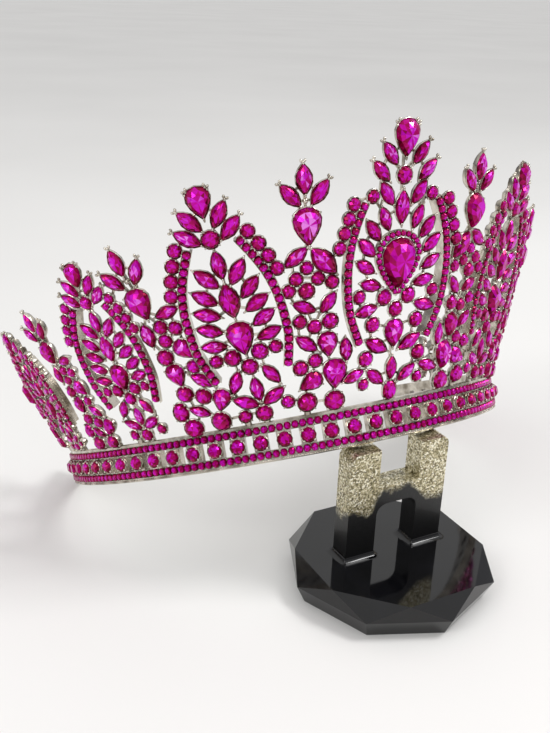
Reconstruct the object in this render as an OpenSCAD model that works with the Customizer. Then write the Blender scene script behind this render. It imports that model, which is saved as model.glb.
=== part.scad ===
// Pageant crown leaning on its display stand.
// Millimetres, z up, the front of the crown towards -y, and the origin at the centre of
// the stand's foot on the table.

/* [Band] */
// Outer radius of the band
band_r = 75; // [65:1:85]
// Height of the band
band_h = 11.4; // [9:0.2:14]
// Thickness of the band
band_t = 2.4; // [1.8:0.1:3.5]
// How far round each way from the front the band reaches, degrees
band_reach = 114; // [100:1:130]
// Angle from the end of the band to the middle of the spray there
end_inset = 15; // [12:1:20]
// Angle left plain at each end of the band's middle row
end_plain = 3; // [2:0.5:5]
// Angle from one middle stone to the next
band_step = 5.1; // [4.5:0.1:6]
// Diameter of the band's middle stones
band_stone_d = 4.1; // [3:0.1:5]
// Width of the window between two middle stones
window_w = 2.3; // [1:0.1:3]
// Height of that window
window_h = 4.8; // [3:0.1:6]
// Width of each groove that carries a row of small stones
groove_w = 2.2; // [1.5:0.1:3]
// Depth of those grooves
groove_deep = 0.5; // [0.2:0.1:0.8]
// Height of the plain edge below the lower groove and above the upper one
ledge = 1; // [0.6:0.1:2]

/* [Wall] */
// Angle at which the motifs lean outwards
flare = 24; // [10:1:35]
// Slant height of the centre motif above the band
centre_h = 78; // [60:1:95]
// Thickness of the pierced plates
plate_t = 1.6; // [1.2:0.1:2.5]
// Metal left round each stone
rim = 0.45; // [0.3:0.05:0.8]
// Gaps narrower than twice this are closed with solder
solder = 1.15; // [0.3:0.05:2]
// Width of the collar of small stones round the centre drop
halo_w = 2.2; // [1:0.1:4]
// Width of the stem under each stone that stands on the band
stem_w = 2; // [1:0.1:3]
// Width of the curved rails
rail_w = 2.6; // [2:0.1:4]
// Depth of the rails behind the front of the plate
rail_deep = 2.8; // [2:0.1:4]
// Height of the rails in front of the plate
rail_rise = 0.4; // [0.2:0.1:1]

/* [Stones] */
// Depth of each stone's seat in the metal
seat = 0.7; // [0.5:0.05:1]
// Gap between a stone and its seat
stone_gap = 0.14; // [0.1:0.02:0.25]
// Height of a stone above its girdle, as a share of its width
stone_rise = 0.3; // [0.15:0.05:0.5]
// Width of the table as a share of the stone
table = 0.58; // [0.4:0.02:0.7]
// Motif stones shorter than this are left to the finish
smallest = 5.8; // [3:0.1:8]
// Of those, stones shorter than this have no collet either
smallest_collet = 3.6; // [2:0.1:6]
// Height of the collets that mark the smaller stones
collet_rise = 0.6; // [0.3:0.1:1]

/* [Stand] */
// Height of the stand
stand_h = 45.8; // [35:0.1:60]
// Thickness of the gem-cut base
base_h = 10.7; // [8:0.1:20]
// Radius of the base over the corners of its top
base_top_r = 28.9; // [24:0.1:40]
// Radius of the base over the corners of its girdle
base_girdle_r = 31.7; // [26:0.1:44]
// Radius of the base over its lower corners
base_foot_r = 29; // [24:0.1:40]
// Height of the girdle above the table
girdle_h = 5.8; // [3:0.1:12]
// Width of the upright
upright_w = 33.5; // [25:0.5:50]
// Thickness of the upright
upright_t = 6.9; // [5:0.1:12]
// Width of the slot between the two posts
slot_w = 14; // [5:0.1:20]
// Depth of that slot
slot_deep = 12; // [5:0.1:16]
// Height of the arched opening above the base
arch_open_h = 17; // [8:0.5:24]
// Radius of the upright's top corners
corner_r = 2.6; // [1:0.1:5]
// Radius of the opening's upper corners
open_r = 3.4; // [1:0.1:4]
// How far the base's centre stands ahead of the upright's
base_ahead = 2; // [0:0.5:6]
// Gap between the band and the tops of the posts
rest_gap = 0.1; // [0.05:0.05:0.3]

/* [Hidden] */
$fn = 48;
// The band's lower inner edge lies on the outer corners of the two posts, and its two
// ends stand on the table.
post_x = upright_w / 2 - corner_r;
touch_y = sqrt((band_r - band_t) * (band_r - band_t) - post_x * post_x);
lean = asin((stand_h + rest_gap) / (touch_y - band_r * cos(band_reach)));
crown_z = -band_r * cos(band_reach) * sin(lean);
crown_y = base_ahead + (band_r - band_t / 2) * cos(lean);
upright_h = stand_h - base_h;
stem_root = 1.6;
cut_over = 3;
base_sides = 8;
collet_sides = 6;
band_stones_each_way = floor((band_reach - end_plain) / band_step);

// The motifs round the crown: kind, angle from the front, height and width as shares of
// the centre motif's height, tilt in its own plane, and -1 where its chart is mirrored.
KIND = 0; ANGLE = 1; TALL = 2; WIDE = 3; TILT = 4; FLIP = 5;
motifs = [
  ["centre", -0.8, 1, 1, -1.2, 1],
  ["spire", -16.8, 0.89, 0.89, -1, 1], ["spire", 16.8, 0.89, 0.89, 1, -1],
  ["arch", -28.5, 0.875, 0.875, 4.8, 1], ["arch", 28.5, 0.875, 0.875, -4.8, -1],
  ["side spire", -40.7, 0.75, 0.755, 11, 1], ["side spire", 40.7, 0.75, 0.755, -11, -1],
  ["arch", -56.2, 0.725, 0.715, -1.4, 1], ["arch", 56.2, 0.725, 0.715, 1.4, -1],
  ["side spire", -69.5, 0.61, 0.61, 4.5, 1], ["side spire", 69.5, 0.61, 0.61, -4.5, -1],
  ["arch", -84.5, 0.565, 0.62, 0, 1], ["arch", 84.5, 0.565, 0.62, 0, -1],
  ["end", end_inset - band_reach, 0.36, 0.4, 0, 1], ["end", band_reach - end_inset, 0.36, 0.4, 0, -1]
];

// The stones of a motif: cut, across, up, turn, length, 1 where it is mirrored too,
// 1 where it stands on the band, and the part it belongs to. Lengths are hundredths of
// the motif's height. A link is a plain knob of metal.
CUT = 0; ACROSS = 1; UP = 2; TURN = 3; LENGTH = 4; BOTH = 5; FOOT = 6; PART = 7;
arch_stones = [
  ["pear", 0, 93.8, 0, 12.7, 0, 0, "crest"],
  ["marquise", 5.7, 87.9, 38, 12, 1, 0, "field"],
  ["marquise", 8.4, 81.9, 50, 12, 1, 0, "field"],
  ["round", 0, 79.4, 0, 6.8, 0, 0, "field"],
  ["marquise", 0, 69, 0, 12, 0, 0, "field"],
  ["marquise", 6.1, 64.8, 40, 12.2, 1, 0, "field"],
  ["broad", 0, 54.2, 0, 14.8, 0, 0, "field"],
  ["marquise", 9, 57.6, 50, 11.6, 1, 0, "field"],
  ["marquise", 10, 50.8, 66, 11.6, 1, 0, "field"],
  ["marquise", 10.9, 44.3, 66, 11.2, 1, 0, "field"],
  ["marquise", 11.2, 37.4, 78, 11, 1, 0, "field"],
  ["pear", 0, 37.9, 0, 14.4, 0, 0, "drop"],
  ["round", 12.2, 31.2, 0, 5.1, 1, 0, "field"],
  ["round", 5.6, 30.9, 0, 6.4, 1, 0, "field"],
  ["round", 0, 25.6, 0, 6.4, 0, 0, "field"],
  ["marquise", 7.4, 20.3, -28, 10.8, 1, 0, "field"],
  ["marquise", 0, 15.3, 0, 11.2, 0, 0, "field"],
  ["marquise", 5.8, 10.7, 62, 11.4, 1, 0, "field"],
  ["round", 0, 4.2, 0, 6.6, 0, 1, "field"],
  ["round", -7.8, 4.7, 0, 5.2, 0, 1, "field"],
  ["round", 10.6, 6.4, 0, 5.2, 0, 0, "field"],
  ["round", 14.3, 78.8, 0, 5.3, 1, 0, "field"],
  ["round", 17, 73.2, 0, 5.4, 1, 0, "field"],
  ["round", 19.3, 67.6, 0, 5.3, 1, 0, "field"],
  ["round", 21.1, 61.9, 0, 5.2, 1, 0, "field"]
];
centre_stones = [
  ["pear", 0, 93.6, 0, 12.8, 0, 0, "crest"],
  ["marquise", 6.1, 88.7, 38, 9.9, 1, 0, "field"],
  ["marquise", 9.3, 83, 44, 9.9, 1, 0, "field"],
  ["round", 0, 81.4, 0, 5.8, 0, 0, "field"],
  ["marquise", 6.5, 75.5, 34, 10, 1, 0, "field"],
  ["marquise", 0, 70.6, 0, 12.2, 0, 0, "field"],
  ["marquise", 6.6, 67, 24, 9.5, 1, 0, "field"],
  ["marquise", 11, 63.2, 38, 9.8, 1, 0, "field"],
  ["round", 12, 74.8, 0, 4.5, 1, 0, "field"],
  ["pear", 0, 50.9, 0, 18.2, 0, 0, "drop"],
  ["marquise", 13.3, 57.4, 48, 9.8, 1, 0, "field"],
  ["marquise", 13.5, 50.7, 60, 9.2, 1, 0, "field"],
  ["marquise", 10.9, 44.1, 78, 9.4, 1, 0, "field"],
  ["round", 15.3, 40.2, 0, 4.6, 1, 0, "field"],
  ["round", 5, 39.1, 0, 5.5, 1, 0, "field"],
  ["round", 0, 34.5, 0, 5.4, 0, 0, "field"],
  ["marquise", 12.2, 35, -76, 9.8, 1, 0, "field"],
  ["round", 9.2, 29.6, 0, 5.4, 1, 0, "field"],
  ["pear", 0, 25.4, 0, 10.8, 0, 0, "field"],
  ["marquise", 7, 21.6, 62, 11, 1, 0, "field"],
  ["round", 11.2, 17, 0, 5.5, 1, 0, "field"],
  ["marquise", 0, 12.3, 0, 9.6, 0, 0, "field"],
  ["oval", 0, 3.6, 0, 7.4, 0, 1, "field"],
  ["marquise", 6.7, 9.7, 51, 9.6, 1, 0, "field"],
  ["marquise", 15.9, 11.2, -69, 9.4, 1, 0, "field"],
  ["round", 11.6, 7.4, 0, 4.2, 1, 0, "field"],
  ["round", 19.3, 72.5, 0, 4.6, 1, 0, "field"],
  ["round", 20.9, 67.7, 0, 4.7, 1, 0, "field"],
  ["round", 22.5, 62.9, 0, 4.6, 1, 0, "field"],
  ["round", 24, 58, 0, 4.6, 1, 0, "field"]
];
spire_stones = [
  ["broad", 0, 94, 0, 11.8, 0, 0, "field"],
  ["marquise", 5.6, 88.6, 39, 11.6, 1, 0, "field"],
  ["link", 0, 86, 0, 2.6, 0, 0, "field"],
  ["pear", 0, 76.2, 0, 14.8, 0, 0, "drop"],
  ["marquise", -5.4, 65.2, 55, 11.6, 0, 0, "field"],
  ["broad", 5.4, 62.4, -40, 14.4, 0, 0, "field"],
  ["round", -1.5, 60.6, 0, 4.9, 0, 0, "field"],
  ["round", -6, 56.7, 0, 5.2, 0, 0, "field"],
  ["round", 2.6, 56, 0, 5.1, 0, 0, "field"],
  ["round", 8, 53.8, 0, 5.1, 0, 0, "field"],
  ["round", -9.2, 52.4, 0, 5.1, 0, 0, "field"],
  ["round", -2.2, 51.6, 0, 6.1, 0, 0, "field"],
  ["marquise", -3.6, 45.2, -64, 10.4, 0, 0, "field"],
  ["marquise", 6, 45.8, 40, 10.4, 0, 0, "field"],
  ["round", -5.8, 39.5, 0, 5.2, 0, 0, "field"],
  ["round", -0.1, 36.8, 0, 5.5, 0, 0, "field"],
  ["round", 6.3, 38.2, 0, 6.1, 0, 0, "field"],
  ["marquise", -3.8, 30.2, -50, 11, 0, 0, "field"],
  ["pear", 4.7, 28.6, 0, 10.8, 0, 0, "field"],
  ["marquise", 11.9, 25.4, 0, 10.6, 0, 0, "field"],
  ["round", -6.9, 20.3, 0, 5.9, 0, 0, "field"],
  ["round", -0.8, 22.6, 0, 5.4, 0, 0, "field"],
  ["pear", 6.7, 15.6, 5, 13, 0, 0, "field"],
  ["pear", -3.4, 13.7, 60, 10.4, 0, 0, "field"],
  ["round", -5.3, 5.3, 0, 7.6, 0, 1, "field"],
  ["round", 5.9, 4.2, 0, 8, 0, 1, "field"]
];
side_spire_stones = [
  ["marquise", 0, 92.7, 0, 14, 0, 0, "field"],
  ["marquise", 6.2, 85.6, 34, 13.4, 1, 0, "field"],
  ["link", 0, 83, 0, 3, 0, 0, "field"],
  ["pear", 0, 70.9, 0, 16, 0, 0, "drop"],
  ["marquise", 9.8, 62.9, 88, 12.8, 0, 0, "field"],
  ["broad", -4.2, 56, 4, 12.6, 0, 0, "field"],
  ["round", 3.5, 57.4, 0, 6.5, 0, 0, "field"],
  ["round", 9.9, 54.4, 0, 6.5, 0, 0, "field"],
  ["round", 2.3, 50.5, 0, 6.4, 0, 0, "field"],
  ["pear", 8.8, 43.1, -30, 12, 0, 0, "field"],
  ["round", -2, 43, 0, 7.6, 0, 0, "field"],
  ["pear", -1.6, 32.8, 0, 12.2, 0, 0, "field"],
  ["round", 8.2, 33.9, 0, 6.3, 0, 0, "field"],
  ["marquise", 9, 26, -44, 13.2, 0, 0, "field"],
  ["round", -2.6, 22.7, 0, 7.8, 0, 0, "field"],
  ["round", 5.2, 18.3, 0, 7.6, 0, 0, "field"],
  ["pear", 12.3, 13.2, 36, 12, 0, 0, "field"],
  ["marquise", -0.2, 11.7, -52, 11.6, 0, 0, "field"],
  ["oval", -9.3, 14.7, 18, 9.8, 0, 0, "field"],
  ["round", -7.4, 4.7, 0, 9.2, 0, 1, "field"],
  ["round", 7, 3.3, 0, 9.2, 0, 1, "field"]
];
end_stones = [
  ["pear", 0, 83, 0, 30, 0, 0, "field"],
  ["marquise", 17, 62, 42, 24, 1, 0, "field"],
  ["round", 0, 54, 0, 15, 0, 0, "field"],
  ["marquise", 19, 38, 62, 24, 1, 0, "field"],
  ["pear", 0, 29, 0, 24, 0, 0, "field"],
  ["round", 12, 14, 0, 17, 1, 1, "field"]
];
// The curved rails of an arch: half width and height, in the same hundredths.
arch_rail = [[9.8, 77.5], [13.5, 70], [16.4, 63], [18.4, 54], [18.9, 45], [18.6, 36],
  [17.2, 30], [14.6, 21.5]];
centre_rail = [[14.8, 73], [17.4, 66.8], [19.5, 59], [20.4, 50], [19.8, 40], [17.9, 32],
  [14, 22.6]];

// Outline of each cut for a half length and half width of 1, right side from the top down.
function half_outline(cut) =
  cut == "pear" ? [[0.34, 1], [0.84, 0.74], [1, 0.3], [0.78, -0.2], [0.34, -0.76], [0, -1]] :
  cut == "marquise" || cut == "broad" ? [[0, 1], [0.64, 0.58], [1, 0], [0.64, -0.58], [0, -1]] :
  [[0.38, 0.92], [0.92, 0.38], [0.92, -0.38], [0.38, -0.92]];
function slim(cut) = cut == "pear" ? 0.74 : cut == "marquise" ? 0.48 : cut == "broad" ? 0.54 :
  cut == "oval" ? 0.75 : 1;
function whole_outline(cut) = let (h = half_outline(cut), n = len(h)) concat(
  h, [for (i = [n - 1:-1:0]) if (h[i][0] != 0) [-h[i][0], h[i][1]]]);
function outline(cut, length, grow = 0) =
  let (b = length / 2 + grow, a = length * slim(cut) / 2 + grow)
  [for (p = whole_outline(cut)) [p[0] * a, p[1] * b]];

function chart(kind) = kind == "centre" ? centre_stones : kind == "arch" ? arch_stones :
  kind == "spire" ? spire_stones : kind == "side spire" ? side_spire_stones : end_stones;
function family(m) = m[KIND] == "side spire" ? "spire" : m[KIND];
function rail(kind) = kind == "centre" ? centre_rail : arch_rail;
function tall(m) = m[TALL] * centre_h;
function size(row, m) = row[LENGTH] * tall(m) / 100;
function is_solid(row, m) = row[PART] != "field" || size(row, m) >= smallest;
function has_collet(row, m) = !is_solid(row, m)
  && (size(row, m) >= smallest_collet || row[CUT] == "link");
function at_point(row, m) = [row[ACROSS] * m[WIDE] * centre_h / 100, row[UP] * tall(m) / 100];
function has_rail(m) = m[KIND] == "centre" || m[KIND] == "arch";
function has_halo(row, m) = m[KIND] == "centre" && row[PART] == "drop";

module on_crown() { translate([0, crown_y, crown_z]) rotate([-lean, 0, 0]) children(); }

module on_wall(m) {
  rotate([0, 0, m[ANGLE]]) translate([0, -band_r, band_h]) rotate([90 + flare, 0, 0])
    rotate(m[TILT]) mirror([m[FLIP] < 0 ? 1 : 0, 0, 0]) children();
}

// Every stone of a motif in the chart's plane; side -1 and 1 for the mirrored ones.
module at_stone(row, m) {
  for (side = row[BOTH] == 1 ? [-1, 1] : [1])
    translate([side * at_point(row, m)[0], at_point(row, m)[1]]) rotate(-side * row[TURN])
      children();
}

// A cut stone with a flat back in its seat, a girdle at the metal and a table on top.
module cut_stone(cut, length, back = seat - stone_gap, girdle = 0.1) {
  ring = outline(cut, length);
  n = len(ring);
  width = length * slim(cut);
  function layer(k, z) = [for (p = ring) [p[0] * k, p[1] * k, z]];
  points = concat(layer(0.8, -back), layer(1, girdle),
    layer(table, girdle + stone_rise * width));
  // The outline runs clockwise, so the back is listed as it runs and the table reversed.
  polyhedron(points, concat(
    [[for (i = [n - 1:-1:0]) i]],
    [for (k = [0:1], i = [0:n - 1]) [k * n + i, k * n + (i + 1) % n, (k + 1) * n + (i + 1) % n,
      (k + 1) * n + i]],
    [[for (i = [0:n - 1]) 2 * n + i]]));
}

module seats_flat(m) {
  offset(delta = 0.001) for (row = chart(m[KIND])) if (is_solid(row, m))
    at_stone(row, m) polygon(outline(row[CUT], size(row, m), stone_gap));
}

module collets_flat(m) {
  for (row = chart(m[KIND])) if (has_collet(row, m)) at_stone(row, m)
    if (row[CUT] == "round" || row[CUT] == "link") circle(d = size(row, m), $fn = collet_sides);
    else polygon(outline(row[CUT], size(row, m)));
}

module rail_flat(m) {
  w = m[WIDE] * centre_h / 100;
  h = tall(m) / 100;
  r = rail(m[KIND]);
  for (side = [-1, 1]) polygon(concat(
    [for (p = r) [side * (p[0] * w - rail_w / 2), p[1] * h]],
    [for (i = [len(r) - 1:-1:0]) [side * (r[i][0] * w + rail_w / 2), r[i][1] * h]]));
}

// The pierced plate: a rim round each stone, the rails and a stem under each foot stone.
module lace_flat(m) {
  offset(r = -solder, $fn = 6) offset(r = solder + rim, $fn = 6) {
    for (row = chart(m[KIND])) at_stone(row, m)
      polygon(outline(row[CUT], size(row, m), has_halo(row, m) ? halo_w : 0));
    if (has_rail(m)) offset(delta = -rim) rail_flat(m);
    for (row = chart(m[KIND])) if (row[FOOT] == 1)
      for (side = row[BOTH] == 1 ? [-1, 1] : [1])
        translate([side * at_point(row, m)[0] - stem_w / 2, -stem_root])
          square([stem_w, at_point(row, m)[1] + stem_root]);
  }
}

module motif_metal(m) {
  on_wall(m) difference() {
    union() {
      translate([0, 0, -plate_t]) linear_extrude(plate_t) lace_flat(m);
      translate([0, 0, -seat]) linear_extrude(seat + collet_rise) collets_flat(m);
      if (has_rail(m)) translate([0, 0, -rail_deep]) linear_extrude(rail_deep + rail_rise)
        rail_flat(m);
    }
    translate([0, 0, -seat]) linear_extrude(seat + cut_over) seats_flat(m);
  }
}

module band_metal() {
  inner = band_r - band_t;
  low = ledge;
  high = band_h - ledge - groove_w;
  difference() {
    rotate([0, 0, -90 - band_reach]) rotate_extrude(angle = 2 * band_reach, $fn = 120)
      polygon([[inner, 0], [band_r, 0], [band_r, low], [band_r - groove_deep, low],
        [band_r - groove_deep, low + groove_w], [band_r, low + groove_w], [band_r, high],
        [band_r - groove_deep, high], [band_r - groove_deep, high + groove_w],
        [band_r, high + groove_w], [band_r, band_h], [inner, band_h]]);
    for (i = [-band_stones_each_way:band_stones_each_way - 1])
      rotate([0, 0, (i + 0.5) * band_step])
        translate([-window_w / 2, -band_r - 1, (band_h - window_h) / 2])
          cube([window_w, band_t + 2, window_h]);
  }
}

module metal_frame() {
  color("silver") on_crown() difference() {
    union() {
      band_metal();
      for (m = motifs) motif_metal(m);
    }
    for (m = motifs) if (family(m) == "spire")
      on_wall(m) translate([0, 0, -seat]) linear_extrude(seat + cut_over) seats_flat(m);
  }
}

module stones(m, part) {
  color("deeppink") on_crown() on_wall(m) for (row = chart(m[KIND]))
    if (row[PART] == part && is_solid(row, m))
      at_stone(row, m) cut_stone(row[CUT], size(row, m));
}

module field(kind) {
  for (m = motifs) if (family(m) == kind) stones(m, "field");
}

module band_stones() {
  color("deeppink") on_crown() for (i = [-band_stones_each_way:band_stones_each_way])
    rotate([0, 0, i * band_step]) translate([0, -band_r - stone_gap, band_h / 2])
      rotate([90, 0, 0]) cut_stone("round", band_stone_d, 0, 0.5);
}

// The gem-cut base: an octagon on top turned half a step from the girdle's.
module stand_base() {
  n = base_sides;
  step = 360 / n;
  function ring(r, turn, z) =
    [for (k = [0:n - 1]) [r * cos(step * (k + turn)), r * sin(step * (k + turn)), z]];
  points = concat(ring(base_foot_r, 0, 0), ring(base_girdle_r, 0, girdle_h),
    ring(base_top_r, 0.5, base_h));
  color("black") polyhedron(points, concat(
    [[for (k = [0:n - 1]) k]],
    [for (k = [0:n - 1]) [k, n + k, n + (k + 1) % n, (k + 1) % n]],
    [for (k = [0:n - 1]) [n + k, 2 * n + k, n + (k + 1) % n]],
    [for (k = [0:n - 1]) [2 * n + k, 2 * n + (k + 1) % n, n + (k + 1) % n]],
    [[for (k = [n - 1:-1:0]) 2 * n + k]]));
}

module rounded_top(w, h, r) {
  hull() {
    translate([-w / 2, 0]) square([w, h / 2]);
    for (side = [-1, 1]) translate([side * (w / 2 - r), h - r]) circle(r);
  }
}

module stand_upright() {
  color("gray") translate([0, base_ahead + upright_t / 2, base_h]) rotate([90, 0, 0])
    linear_extrude(upright_t) difference() {
      rounded_top(upright_w, upright_h, corner_r);
      translate([-slot_w / 2, upright_h - slot_deep]) square([slot_w, slot_deep + 1]);
      translate([0, -1]) rounded_top(slot_w, arch_open_h + 1, open_r);
    }
}

module centre_crest() { stones(motifs[0], "crest"); }
module centre_drop() { stones(motifs[0], "drop"); }
module left_front_spire_drop() { stones(motifs[1], "drop"); }
module right_front_spire_drop() { stones(motifs[2], "drop"); }
module left_front_arch_crest() { stones(motifs[3], "crest"); }
module left_front_arch_drop() { stones(motifs[3], "drop"); }
module right_front_arch_crest() { stones(motifs[4], "crest"); }
module right_front_arch_drop() { stones(motifs[4], "drop"); }
module left_side_spire_drop() { stones(motifs[5], "drop"); }
module right_side_spire_drop() { stones(motifs[6], "drop"); }
module left_side_arch_crest() { stones(motifs[7], "crest"); }
module left_side_arch_drop() { stones(motifs[7], "drop"); }
module right_side_arch_crest() { stones(motifs[8], "crest"); }
module right_side_arch_drop() { stones(motifs[8], "drop"); }
module left_rear_spire_drop() { stones(motifs[9], "drop"); }
module right_rear_spire_drop() { stones(motifs[10], "drop"); }
module left_rear_arch_crest() { stones(motifs[11], "crest"); }
module left_rear_arch_drop() { stones(motifs[11], "drop"); }
module right_rear_arch_crest() { stones(motifs[12], "crest"); }
module right_rear_arch_drop() { stones(motifs[12], "drop"); }
module centre_stones() { field("centre"); }
module arch_stones() { field("arch"); }
module spire_stones() { field("spire"); }
module end_stones() { field("end"); }

metal_frame();
band_stones();
stand_base();
stand_upright();
centre_crest();
centre_drop();
left_front_spire_drop();
right_front_spire_drop();
left_front_arch_crest();
left_front_arch_drop();
right_front_arch_crest();
right_front_arch_drop();
left_side_spire_drop();
right_side_spire_drop();
left_side_arch_crest();
left_side_arch_drop();
right_side_arch_crest();
right_side_arch_drop();
left_rear_spire_drop();
right_rear_spire_drop();
left_rear_arch_crest();
left_rear_arch_drop();
right_rear_arch_crest();
right_rear_arch_drop();
centre_stones();
arch_stones();
spire_stones();
end_stones();
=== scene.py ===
import math

import bpy
import numpy as np
from mathutils import Matrix, Vector
from mathutils.kdtree import KDTree


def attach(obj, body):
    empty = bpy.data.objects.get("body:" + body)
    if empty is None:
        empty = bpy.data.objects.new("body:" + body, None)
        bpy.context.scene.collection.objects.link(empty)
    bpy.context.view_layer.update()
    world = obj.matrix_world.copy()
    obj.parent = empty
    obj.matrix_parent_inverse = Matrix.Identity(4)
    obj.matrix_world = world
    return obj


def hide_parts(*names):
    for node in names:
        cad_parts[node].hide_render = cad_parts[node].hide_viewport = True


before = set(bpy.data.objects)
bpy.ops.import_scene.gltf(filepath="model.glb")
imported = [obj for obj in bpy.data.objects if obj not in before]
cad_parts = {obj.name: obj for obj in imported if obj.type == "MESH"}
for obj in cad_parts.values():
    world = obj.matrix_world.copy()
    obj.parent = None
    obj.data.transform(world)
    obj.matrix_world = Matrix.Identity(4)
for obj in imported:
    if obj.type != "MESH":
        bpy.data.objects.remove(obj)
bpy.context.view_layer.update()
print("frame loaded:", len(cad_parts), "nodes")

rng = np.random.default_rng(7)

# Sizes in millimetres and degrees, the same as in the part's source
band = {"radius": 75.0, "height": 11.4, "thickness": 2.4, "reach": 114.0, "step": 5.1,
        "endInset": 15.0, "endPlain": 3.0, "stone": 4.1, "windowWidth": 2.3, "windowHeight": 4.8,
        "groove": 2.2, "grooveDepth": 0.5, "ledge": 1.0}
wall = {"flare": 24.0, "centreHeight": 78.0, "haloWidth": 2.2, "railWidth": 2.6,
        "railDepth": 2.8}
stand = {"height": 45.8, "baseHeight": 10.7, "uprightWidth": 33.5, "cornerRadius": 2.6,
         "baseAhead": 2.0, "restGap": 0.1}
smallestSolid = 5.8  # shorter motif stones are only made here

# How the crown leans: the band on the two posts in front, its two ends on the table
postX = stand["uprightWidth"] / 2 - stand["cornerRadius"]
touchY = math.sqrt((band["radius"] - band["thickness"]) ** 2 - postX ** 2)
endY = -band["radius"] * math.cos(math.radians(band["reach"]))
lean = math.asin((stand["height"] + stand["restGap"]) / (touchY + endY))
crownY = stand["baseAhead"] + (band["radius"] - band["thickness"] / 2) * math.cos(lean)
crownZ = endY * math.sin(lean)

# Motifs round the crown: kind, angle from the front, height and width as shares, tilt in
# their own plane, and -1 where the chart is mirrored
motifs = [
    ("centre", -0.8, 1, 1, -1.2, 1),
    ("spire", -16.8, 0.89, 0.89, -1, 1), ("spire", 16.8, 0.89, 0.89, 1, -1),
    ("arch", -28.5, 0.875, 0.875, 4.8, 1), ("arch", 28.5, 0.875, 0.875, -4.8, -1),
    ("side spire", -40.7, 0.75, 0.755, 11, 1), ("side spire", 40.7, 0.75, 0.755, -11, -1),
    ("arch", -56.2, 0.725, 0.715, -1.4, 1), ("arch", 56.2, 0.725, 0.715, 1.4, -1),
    ("side spire", -69.5, 0.61, 0.61, 4.5, 1), ("side spire", 69.5, 0.61, 0.61, -4.5, -1),
    ("arch", -84.5, 0.565, 0.62, 0, 1), ("arch", 84.5, 0.565, 0.62, 0, -1),
    ("end", band["endInset"] - band["reach"], 0.36, 0.4, 0, 1),
    ("end", band["reach"] - band["endInset"], 0.36, 0.4, 0, -1),
]

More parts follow.
